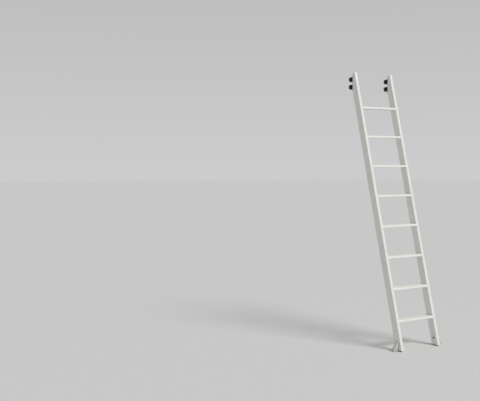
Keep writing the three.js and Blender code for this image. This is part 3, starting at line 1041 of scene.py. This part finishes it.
def cross_cutters(centre, axis, end, length):
    """Two crossed wedges that narrow to the bottom of a recess, for a head whose face is at end."""
    along, across = directions[axis]
    sideways = along.cross(across)
    cutters = []
    for long_way, short_way in ((across, sideways), (sideways, across)):
        top = Vector(centre) + along * end
        size = long_way * length + short_way * recess_width + along * (2 * recess_depth)
        size = Vector([abs(s) for s in size])
        wedge = add_block("recess", top - size / 2, top + size / 2)
        edit(wedge)
        below = (top - along * recess_depth).dot(along)
        pick("faces", lambda face, m: abs(m.dot(along) - below) < on_plane)
        narrowed = (recess_taper, recess_taper, recess_taper)
        bpy.ops.transform.resize(value=narrowed, center_override=top - along * recess_depth)
        leave_edit()
        cutters.append(wedge)
    return cutters


def make_wood_screw(name, node):
    low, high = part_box(node)
    centre = Vector(((low.x + high.x) / 2, 0, (low.z + high.z) / 2))
    head, shank = screw_head_radius, screw_shank_radius
    tip = 0.004
    neck = high.y - 0.0004 - (head - shank)
    profile = [(0, low.y)] + [(shank * 0.55, low.y + tip * 0.6)]
    profile += thread(shank, low.y + tip, neck - 0.004, 0.0018, 0.0007)
    profile += [(shank, neck), (head, high.y - 0.0004), (head, high.y), (0, high.y)]
    screw = turned(name, "Y", centre, profile, 40)
    carve(screw, *cross_cutters(centre, "Y", high.y, head * 1.15))
    smooth(screw, 30)
    coat(screw, dark_steel)
    return screw


first_screw = make_wood_screw("fine_upper_plate_screw_right", "upper_plate_screw_right")
at_all_four(plate_screw_z, (first_screw, "plate_screw", "dark_steel", False))

pad_screw_low, pad_screw_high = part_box("foot_pad_screw_right")
to_origin = -Vector((roller_centre.x, screw_high.y, plate_screw_z))
pad_screw = copy_of(first_screw, "fine_foot_pad_screw_right", to_origin)
pad_screw.rotation_euler = (-math.pi / 2, 0, 0)
pad_screw.location = (roller_centre.x, (pad_screw_low.y + pad_screw_high.y) / 2, pad_screw_low.z)
settle(pad_screw)
pad_screw_left = copy_of(pad_screw, "fine_foot_pad_screw_left", (-2 * roller_centre.x, 0, 0))
fit(pad_screw, "ladder", "dark_steel", "foot_pad_screw_right")
fit(pad_screw_left, "ladder", "dark_steel", "foot_pad_screw_left")
print("wood screws:", len(first_screw.data.polygons), "faces each")

# %% [markdown]
# ## Hood enamel
#
# The wheel hoods are pressed steel under a light grey-white enamel that runs a shade darker than the
# boards. Near the floor it has gathered dust and a few scuffs from shoes, so those fade out with
# height.

# %% Enamel
dust_height = 0.045


def hood_paint():
    recipe = Recipe("hood_enamel", IOR=1.5)
    height = recipe.z - floor_z
    low_down = 1 - height.ramp(0.0, dust_height)
    haze = recipe.noise(recipe.place, 45.0, 4.0, 0.55)
    peel = recipe.noise(recipe.place, 700.0, 2.0, 0.5)
    level_strokes = recipe.vector(recipe.x * 160.0, recipe.y * 160.0, recipe.z * 900.0)
    scuffs = recipe.noise(level_strokes, 1.0, 4.0, 0.65)
    marks = scuffs.ramp(0.60, 0.70) * (0.15 + low_down * 0.85)
    tone = recipe.mix(haze.ramp(0.3, 0.7), (0.600, 0.590, 0.565), (0.545, 0.535, 0.505))
    tone = recipe.mix(low_down * haze.ramp(0.25, 0.75) * 0.45, tone, (0.36, 0.34, 0.30))
    recipe.feed("Base Color", recipe.mix(marks * 0.5, tone, (0.30, 0.29, 0.27)))
    recipe.feed("Roughness", 0.34 + haze * 0.10 + low_down * 0.22 + marks * 0.10)
    recipe.bump(peel - marks * 0.5, 0.00012, 0.4)
    return recipe.material


hood_enamel = hood_paint()
print("enamel mixed")

# %% [markdown]
# ## The wheel hoods
#
# A hood is folded from thin sheet: two cheeks, a rim that slopes down over the wheel with a slight
# outward bow, a back against the stile and an open bottom. It could be built wall by wall, but a
# folded sheet has soft folds of one thickness, and that comes most simply from a solid wedge: its
# slope is bowed, the bottom is deleted, the folds are bevelled, and Solidify gives the sheet its wall.
# The ear that takes a screw is a small plate joined on behind.

# %% Wheel hoods
hood_low, hood_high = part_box("wheel_hood_right")
axle_nut_low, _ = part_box("wheel_axle_nut_right")
hood_wall = 0.0015
hood_rear = axle_nut_low.y - crack
_, hood_top_x = reach("wheel_hood_right", "x", lambda v: v.z > hood_high.z - 1e-4)
ear_low_z, ear_high_z = reach("wheel_hood_right", "z", lambda v: v.y > hood_rear + 0.005)
rim_bow = 0.0035
rim_steps = 12
fold_radius = 0.0022
ear_corner = 0.004
axle_radius = 0.003
axle_centre = middle_of("wheel_axle_nut_right")
foot_bolt_centre = middle_of("foot_bolt_right")
hood_screw_centre = middle_of("hood_screw_right")


def bow_the_rim():
    """Lean the outer wall of the block in edit mode, cut it into steps and bow them outward."""
    pick("edges", lambda edge, m: m.x > hood_high.x - on_plane and m.z > hood_high.z - on_plane)
    bpy.ops.transform.translate(value=(hood_top_x - hood_high.x, 0, 0))
    pick(
        "edges",
        lambda edge, m: hood_low.z < m.z < hood_high.z
        and m.x > hood_top_x - 0.001
        and not runs_along(edge, "y"),
    )
    bpy.ops.mesh.subdivide(number_cuts=rim_steps - 1)
    down = Vector((hood_high.x - hood_top_x, 0, hood_low.z - hood_high.z))
    outward = Vector((-down.z, 0, down.x)).normalized()
    for i in range(1, rim_steps):
        part = i / rim_steps
        step = Vector((hood_top_x, 0, hood_high.z)) + down * part
        pick(
            "edges",
            lambda edge, m: runs_along(edge, "y")
            and abs(m.x - step.x) < on_plane
            and abs(m.z - step.z) < on_plane,
        )
        bpy.ops.transform.translate(value=outward * rim_bow * 4 * part * (1 - part))


def make_ear():
    """The tab behind the hood that takes a screw into the stile."""
    low = (hood_low.x, hood_rear - 0.004, ear_low_z)
    ear = add_block("ear", low, (hood_low.x + hood_wall, hood_high.y, ear_high_z))
    edit(ear)
    pick("edges", lambda edge, m: m.y > hood_high.y - on_plane and runs_along(edge, "x"))
    bpy.ops.mesh.bevel(offset=ear_corner, segments=6, affect="EDGES")
    leave_edit()
    return ear


def make_hood(name):
    hood = add_block(name, hood_low, (hood_high.x, hood_rear, hood_high.z))
    edit(hood)
    bow_the_rim()
    pick("faces", lambda face, m: face.normal.z < -0.9)
    bpy.ops.mesh.delete(type="FACE")
    leave_edit()
    soften(hood, fold_radius, segments=4, angle=50)
    apply_modifier(hood, "SOLIDIFY", thickness=hood_wall, offset=-1, use_even_offset=True)
    ear = make_ear()
    apply_modifier(hood, "BOOLEAN", operation="UNION", object=ear, solver="EXACT")
    bpy.data.objects.remove(ear, do_unlink=True)
    hole = axle_radius + crack
    through_wall = hood_low.x + hood_wall - foot_bolt_centre.x + 0.001
    for axis, centre, start, end in (
        ("Y", axle_centre, -0.04, 0.01),
        ("X", foot_bolt_centre, -0.01, through_wall),
    ):
        drill = [(0, start), (hole, start), (hole, end), (0, end)]
        carve(hood, turned("drill", axis, centre, drill, 32))
    smooth(hood, 30)
    coat(hood, hood_enamel)
    return hood


hood_right = make_hood("fine_wheel_hood_right")
hood_left = copy_of(hood_right, "fine_wheel_hood_left", mirrored=True)
fit(hood_right, "ladder", "hood_enamel", "wheel_hood_right")
fit(hood_left, "ladder", "hood_enamel", "wheel_hood_left")
print("hoods:", len(hood_right.data.polygons), "faces each")

# %% [markdown]
# ## Rubber and grey nylon
#
# The tyre is solid rubber: matt, nearly black, with lighter dust pressed into the part that runs on
# the floor. The hub is moulded grey nylon with a faint satin grain. The pad under the foot is harder
# rubber. All three share one recipe, a soft grain with a dust mask, and differ in colour and scale.

# %% Moulded materials
def moulded(name, colour, paler, dust_colour, grain_size, rough, dusty):
    recipe = Recipe(name, IOR=1.5)
    grain = recipe.noise(recipe.place, 1 / grain_size, 3.0, 0.6)
    patches = recipe.noise(recipe.place, 130.0, 4.0, 0.6)
    dust = patches.ramp(0.40, 0.70) * grain.ramp(0.35, 0.65) * dusty
    tone = recipe.mix(patches.ramp(0.3, 0.7), colour, paler)
    recipe.feed("Base Color", recipe.mix(dust, tone, dust_colour))
    recipe.feed("Roughness", rough + grain * 0.12 + dust * 0.15)
    recipe.bump(grain, grain_size / 8, 0.6)
    return recipe.material


black, worn_black, road_dust = (0.018, 0.018, 0.018), (0.030, 0.029, 0.028), (0.16, 0.15, 0.13)
rubber = moulded("rubber", black, worn_black, road_dust, 0.0006, 0.66, 0.45)
pad_black, pad_worn, pad_dust = (0.022, 0.021, 0.020), (0.036, 0.034, 0.032), (0.15, 0.14, 0.12)
pad_rubber = moulded("pad_rubber", pad_black, pad_worn, pad_dust, 0.0009, 0.70, 0.35)
grey, pale_grey, grey_dust = (0.235, 0.235, 0.230), (0.280, 0.280, 0.272), (0.30, 0.28, 0.25)
hub_nylon = moulded("hub_nylon", grey, pale_grey, grey_dust, 0.0005, 0.40, 0.25)
print("rubbers and nylon mixed")

# %% [markdown]
# ## The floor wheels
#
# Under each hood a small wheel carries the foot along the floor. The hub is turned with a rim, a web
# and a boss that keeps it between the hood's cheeks, and five round holes lighten the web. The tyre
# is turned as a ring with rounded shoulders and two fine grooves in its tread. Both are made for the
# right foot and copied to the left.

# %% Floor wheels
tyre_low, tyre_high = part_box("floor_tyre_right")
hub_low, hub_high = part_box("floor_wheel_hub_right")
wheel_centre = middle_of("floor_tyre_right")
tyre_radius = (tyre_high.z - tyre_low.z) / 2
tyre_half = (tyre_high.y - tyre_low.y) / 2
hub_radius = (hub_high.z - hub_low.z) / 2
hub_half = (hub_high.y - hub_low.y) / 2
lightening_holes = 5


def make_tyre(name):
    inner = hub_radius + crack
    groove = 0.0006
    right_half = [
        (inner, tyre_half - 0.0008),
        (inner + 0.0008, tyre_half),
        (tyre_radius - 0.0030, tyre_half),
        (tyre_radius - 0.0018, tyre_half - 0.0005),
        (tyre_radius - 0.0008, tyre_half - 0.0015),
        (tyre_radius - 0.0002, tyre_half - 0.0029),
        (tyre_radius, tyre_half - 0.0042),
        (tyre_radius, 0.0012 + groove),
        (tyre_radius - groove, 0.0012 + groove / 2),
        (tyre_radius, 0.0012),
    ]
    left_half = [(radius, -along) for radius, along in right_half]
    tyre = turned(name, "Y", wheel_centre, right_half + left_half[::-1] + [right_half[0]], 72)
    smooth(tyre, 40)
    coat(tyre, rubber)
    return tyre


def make_hub(name):
    bore = axle_radius + 0.00015
    boss = bore + 0.0025
    rim_half = tyre_half - 0.0005
    rim_inner = hub_radius - 0.002
    web_half = tyre_half - 0.004
    side = [
        (bore, hub_half - 0.0003),
        (bore + 0.0003, hub_half),
        (boss - 0.0003, hub_half),
        (boss, hub_half - 0.0003),
        (boss + 0.0002, web_half + 0.0006),
        (boss + 0.0008, web_half),
        (rim_inner - 0.0008, web_half),
        (rim_inner - 0.0002, web_half + 0.0006),
        (rim_inner, rim_half),
        (hub_radius - 0.0003, rim_half),
        (hub_radius, rim_half - 0.0003),
    ]
    front = [(radius, -along) for radius, along in side]
    hub = turned(name, "Y", wheel_centre, side + front[::-1] + [side[0]], 64)
    web_middle = (boss + rim_inner) / 2
    for i in range(lightening_holes):
        angle = math.tau * i / lightening_holes
        place = wheel_centre + Vector((math.cos(angle), 0, math.sin(angle))) * web_middle
        drill = [(0, -0.01), (0.0008, -0.01), (0.0008, 0.01), (0, 0.01)]
        carve(hub, turned("drill", "Y", place, drill, 16))
    smooth(hub, 35)
    coat(hub, hub_nylon)
    return hub


tyre_right = make_tyre("fine_floor_tyre_right")
hub_right = make_hub("fine_floor_wheel_hub_right")
across = (-2 * wheel_centre.x, 0, 0)
tyre_left = copy_of(tyre_right, "fine_floor_tyre_left", across)
hub_left = copy_of(hub_right, "fine_floor_wheel_hub_left", across)
for hand, tyre, hub in (("right", tyre_right, hub_right), ("left", tyre_left, hub_left)):
    fit(tyre, f"floor_wheel_{hand}", "rubber", f"floor_tyre_{hand}")
    fit(hub, f"floor_wheel_{hand}", "hub_nylon", f"floor_wheel_hub_{hand}")
print("wheels:", len(tyre_right.data.polygons) + len(hub_right.data.polygons), "faces each")

# %% [markdown]
# ## Hexagon nuts, axles and the bolt through the foot
#
# The axle is a pin with a low domed head, painted with the hood, and a threaded end for its nut. The
# foot bolt has a flanged hexagon head on the stile's inner face and a nut inside the hood. A real
# hexagon has chamfered corners: the crossing of a prism and a turned lens gives exactly those arcs.

# %% Axles, foot bolts and nuts
axle_low, axle_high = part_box("wheel_axle_right")
foot_low, foot_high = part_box("foot_bolt_right")
bolt_nut_low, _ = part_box("foot_bolt_nut_right")
axle_head_radius = (axle_high.x - axle_low.x) / 2
axle_head_height = 0.002
nut_flats = 0.010
nut_corner = nut_flats / math.sqrt(3) + 0.0002
small_thread = 0.0010
flange_radius = (foot_high.z - foot_low.z) / 2
flange_thickness = 0.0015


def hexagon(name, axis, centre, low, high, lens):
    """A hexagon between low and high whose corners are turned off by a lens, given as a profile."""
    body = six_sided(name, axis, centre, nut_flats, low, high)
    chamfer = turned("lens", axis, centre, lens, 60)
    apply_modifier(body, "BOOLEAN", operation="INTERSECT", object=chamfer, solver="EXACT")
    bpy.data.objects.remove(chamfer, do_unlink=True)
    return body


def make_nut(name, axis, node):
    low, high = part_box(node)
    middle = (low + high) / 2
    half = (getattr(high, axis.lower()) - getattr(low, axis.lower())) / 2
    flat = nut_flats / 2 * 0.97
    side = half - (nut_corner - flat) * math.tan(math.radians(28))
    lens = [(0, -half), (flat, -half), (nut_corner, -side), (nut_corner, side), (flat, half), (0, half)]
    nut = hexagon(name, axis, middle, -half, half, lens)
    bore = axle_radius + crack
    hole = [
        (0, -half - 0.001),
        (bore + 0.0015, -half - 0.001),
        (bore, -half + 0.0005),
        (bore, half - 0.0005),
        (bore + 0.0015, half + 0.001),
        (0, half + 0.001),
    ]
    carve(nut, turned("hole", axis, middle, hole, 40))
    smooth(nut, 25)
    coat(nut, dark_steel)
    return nut


def make_axle(name):
    centre = Vector((axle_centre.x, 0, axle_centre.z))
    head = axle_head_radius
    under = axle_low.y + axle_head_height
    start, end = axle_nut_low.y - 0.003, axle_high.y
    profile = [
        (0, axle_low.y),
        (head * 0.45, axle_low.y + 0.00008),
        (head * 0.72, axle_low.y + 0.00030),
        (head * 0.90, axle_low.y + 0.00070),
        (head, axle_low.y + 0.00130),
        (head, under),
        (axle_radius, under),
        (axle_radius, start),
    ]
    profile += thread(axle_radius, start, end - 0.0008, small_thread, 0.00035)
    profile += [(axle_radius - 0.0007, end), (0, end)]
    axle = turned(name, "Y", centre, profile, 48)
    smooth(axle, 32)
    coat(axle, hood_enamel)
    return axle


def make_foot_bolt(name):
    centre = Vector((0, foot_bolt_centre.y, foot_bolt_centre.z))
    stile_face = inner_x - crack
    flange = [
        (0, stile_face - 0.004),
        (nut_flats / 2, stile_face - 0.004),
        (nut_flats / 2 + 0.0004, stile_face - 0.0024),
        (flange_radius - 0.0006, stile_face - flange_thickness * 0.55),
        (flange_radius, stile_face - flange_thickness * 0.4),
        (flange_radius, stile_face - 0.0002),
        (flange_radius - 0.0002, stile_face),
        (axle_radius, stile_face),
        (axle_radius, bolt_nut_low.x - 0.002),
    ]
    flange += thread(axle_radius, bolt_nut_low.x - 0.002, foot_high.x - 0.0008, small_thread, 0.00035)
    flange += [(axle_radius - 0.0007, foot_high.x), (0, foot_high.x)]
    bolt = turned(name, "X", centre, flange, 48)
    end = foot_low.x
    dome = [(0, end), (nut_flats * 0.485, end), (nut_corner, end + 0.0007)]
    dome += [(nut_corner, stile_face), (0, stile_face)]
    head = hexagon("head", "X", centre, end, stile_face - flange_thickness, dome)
    apply_modifier(bolt, "BOOLEAN", operation="UNION", object=head, solver="EXACT")
    bpy.data.objects.remove(head, do_unlink=True)
    smooth(bolt, 28)
    coat(bolt, dark_steel)
    return bolt


axle_right = make_axle("fine_wheel_axle_right")
axle_nut_right = make_nut("fine_wheel_axle_nut_right", "Y", "wheel_axle_nut_right")
foot_bolt_right = make_foot_bolt("fine_foot_bolt_right")
foot_nut_right = make_nut("fine_foot_bolt_nut_right", "X", "foot_bolt_nut_right")
for node, piece, slot in (
    ("wheel_axle", axle_right, "hood_enamel"),
    ("wheel_axle_nut", axle_nut_right, "dark_steel"),
    ("foot_bolt", foot_bolt_right, "dark_steel"),
    ("foot_bolt_nut", foot_nut_right, "dark_steel"),
):
    twin = copy_of(piece, f"fine_{node}_left", mirrored=True)
    fit(piece, "ladder", slot, f"{node}_right")
    fit(twin, "ladder", slot, f"{node}_left")
    print(node, "has", len(piece.data.polygons), "faces")

# %% [markdown]
# ## The ear's pan screws
#
# A pan-headed screw holds the hood's ear to the stile's outer face. Its head is a low rounded drum
# with the same cross recess as the wood screws.

# %% Pan screws
ear_screw_low, ear_screw_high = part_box("hood_screw_right")


def make_pan_screw(name):
    centre = Vector((0, hood_screw_centre.y, hood_screw_centre.z))
    seat = hood_low.x + hood_wall + crack
    head = (ear_screw_high.y - ear_screw_low.y) / 2
    top = ear_screw_high.x
    height = top - seat
    shank = screw_shank_radius
    profile = [(0, ear_screw_low.x), (shank * 0.55, ear_screw_low.x + 0.0024)]
    profile += thread(shank, ear_screw_low.x + 0.004, seat - 0.0025, 0.0018, 0.0007)
    profile += [
        (shank, seat),
        (head - 0.0003, seat),
        (head, seat + 0.0003),
        (head, seat + height * 0.38),
        (head * 0.95, seat + height * 0.62),
        (head * 0.80, seat + height * 0.84),
        (head * 0.50, seat + height * 0.97),
        (0, top),
    ]
    screw = turned(name, "X", centre, profile, 40)
    carve(screw, *cross_cutters(centre, "X", top, head * 1.1))
    smooth(screw, 30)
    coat(screw, dark_steel)
    return screw


pan_screw_right = make_pan_screw("fine_hood_screw_right")
pan_screw_left = copy_of(pan_screw_right, "fine_hood_screw_left", mirrored=True)
fit(pan_screw_right, "ladder", "dark_steel", "hood_screw_right")
fit(pan_screw_left, "ladder", "dark_steel", "hood_screw_left")
print("pan screws:", len(pan_screw_right.data.polygons), "faces each")

# %% [markdown]
# ## The foot pads
#
# A rubber pad is let in under each stile, so that a ladder lifted off its wheels doesn't scratch the
# floor. A block gets rounded corners and edges, fine ribs are carved across its underside, and the
# screw's seat is carved in the middle.

# %% Foot pads
foot_pad_low, foot_pad_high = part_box("foot_pad_right")
pad_rib_pitch = 0.004
pad_rib_depth = 0.0008
pad_corner = 0.003
pad_edge = 0.0008
pad_screw_x = (foot_pad_low.x + foot_pad_high.x) / 2
pad_screw_y = (pad_screw_low.y + pad_screw_high.y) / 2


def make_pad(name):
    pad = add_block(name, foot_pad_low, foot_pad_high)
    edit(pad)
    pick("edges", lambda edge, m: runs_along(edge, "z"))
    bpy.ops.mesh.bevel(offset=pad_corner, segments=6, affect="EDGES")
    leave_edit()
    soften(pad, pad_edge, segments=3, angle=50)
    ribs = []
    length = foot_pad_high.y - foot_pad_low.y
    count = int((length - 2 * pad_rib_pitch) / pad_rib_pitch)
    for i in range(count):
        y = (foot_pad_low.y + foot_pad_high.y) / 2 + (i - (count - 1) / 2) * pad_rib_pitch
        if abs(y - pad_screw_y) < screw_head_radius + 0.001:
            continue
        low = (foot_pad_low.x + 0.0022, y - 0.0007, foot_pad_low.z - 0.001)
        high = (foot_pad_high.x - 0.0022, y + 0.0007, foot_pad_low.z + pad_rib_depth)
        ribs.append(add_block("rib", low, high))
    carve(pad, weld(*ribs))
    centre = Vector((pad_screw_x, pad_screw_y, 0))
    head, shank = screw_head_radius + crack, screw_shank_radius + crack
    mouth = pad_screw_low.z
    seat = [
        (0, foot_pad_low.z - 0.001),
        (head, foot_pad_low.z - 0.001),
        (head, mouth + 0.0004),
        (shank, mouth + 0.0004 + head - shank),
        (shank, foot_pad_high.z + 0.001),
        (0, foot_pad_high.z + 0.001),
    ]
    carve(pad, turned("seat", "Z", centre, seat, 40))
    smooth(pad, 35)
    coat(pad, pad_rubber)
    return pad


pad_right = make_pad("fine_foot_pad_right")
pad_left = copy_of(pad_right, "fine_foot_pad_left", (-2 * pad_screw_x, 0, 0))
fit(pad_right, "ladder", "pad_rubber", "foot_pad_right")
fit(pad_left, "ladder", "pad_rubber", "foot_pad_left")
print("pads:", len(pad_right.data.polygons), "faces each")
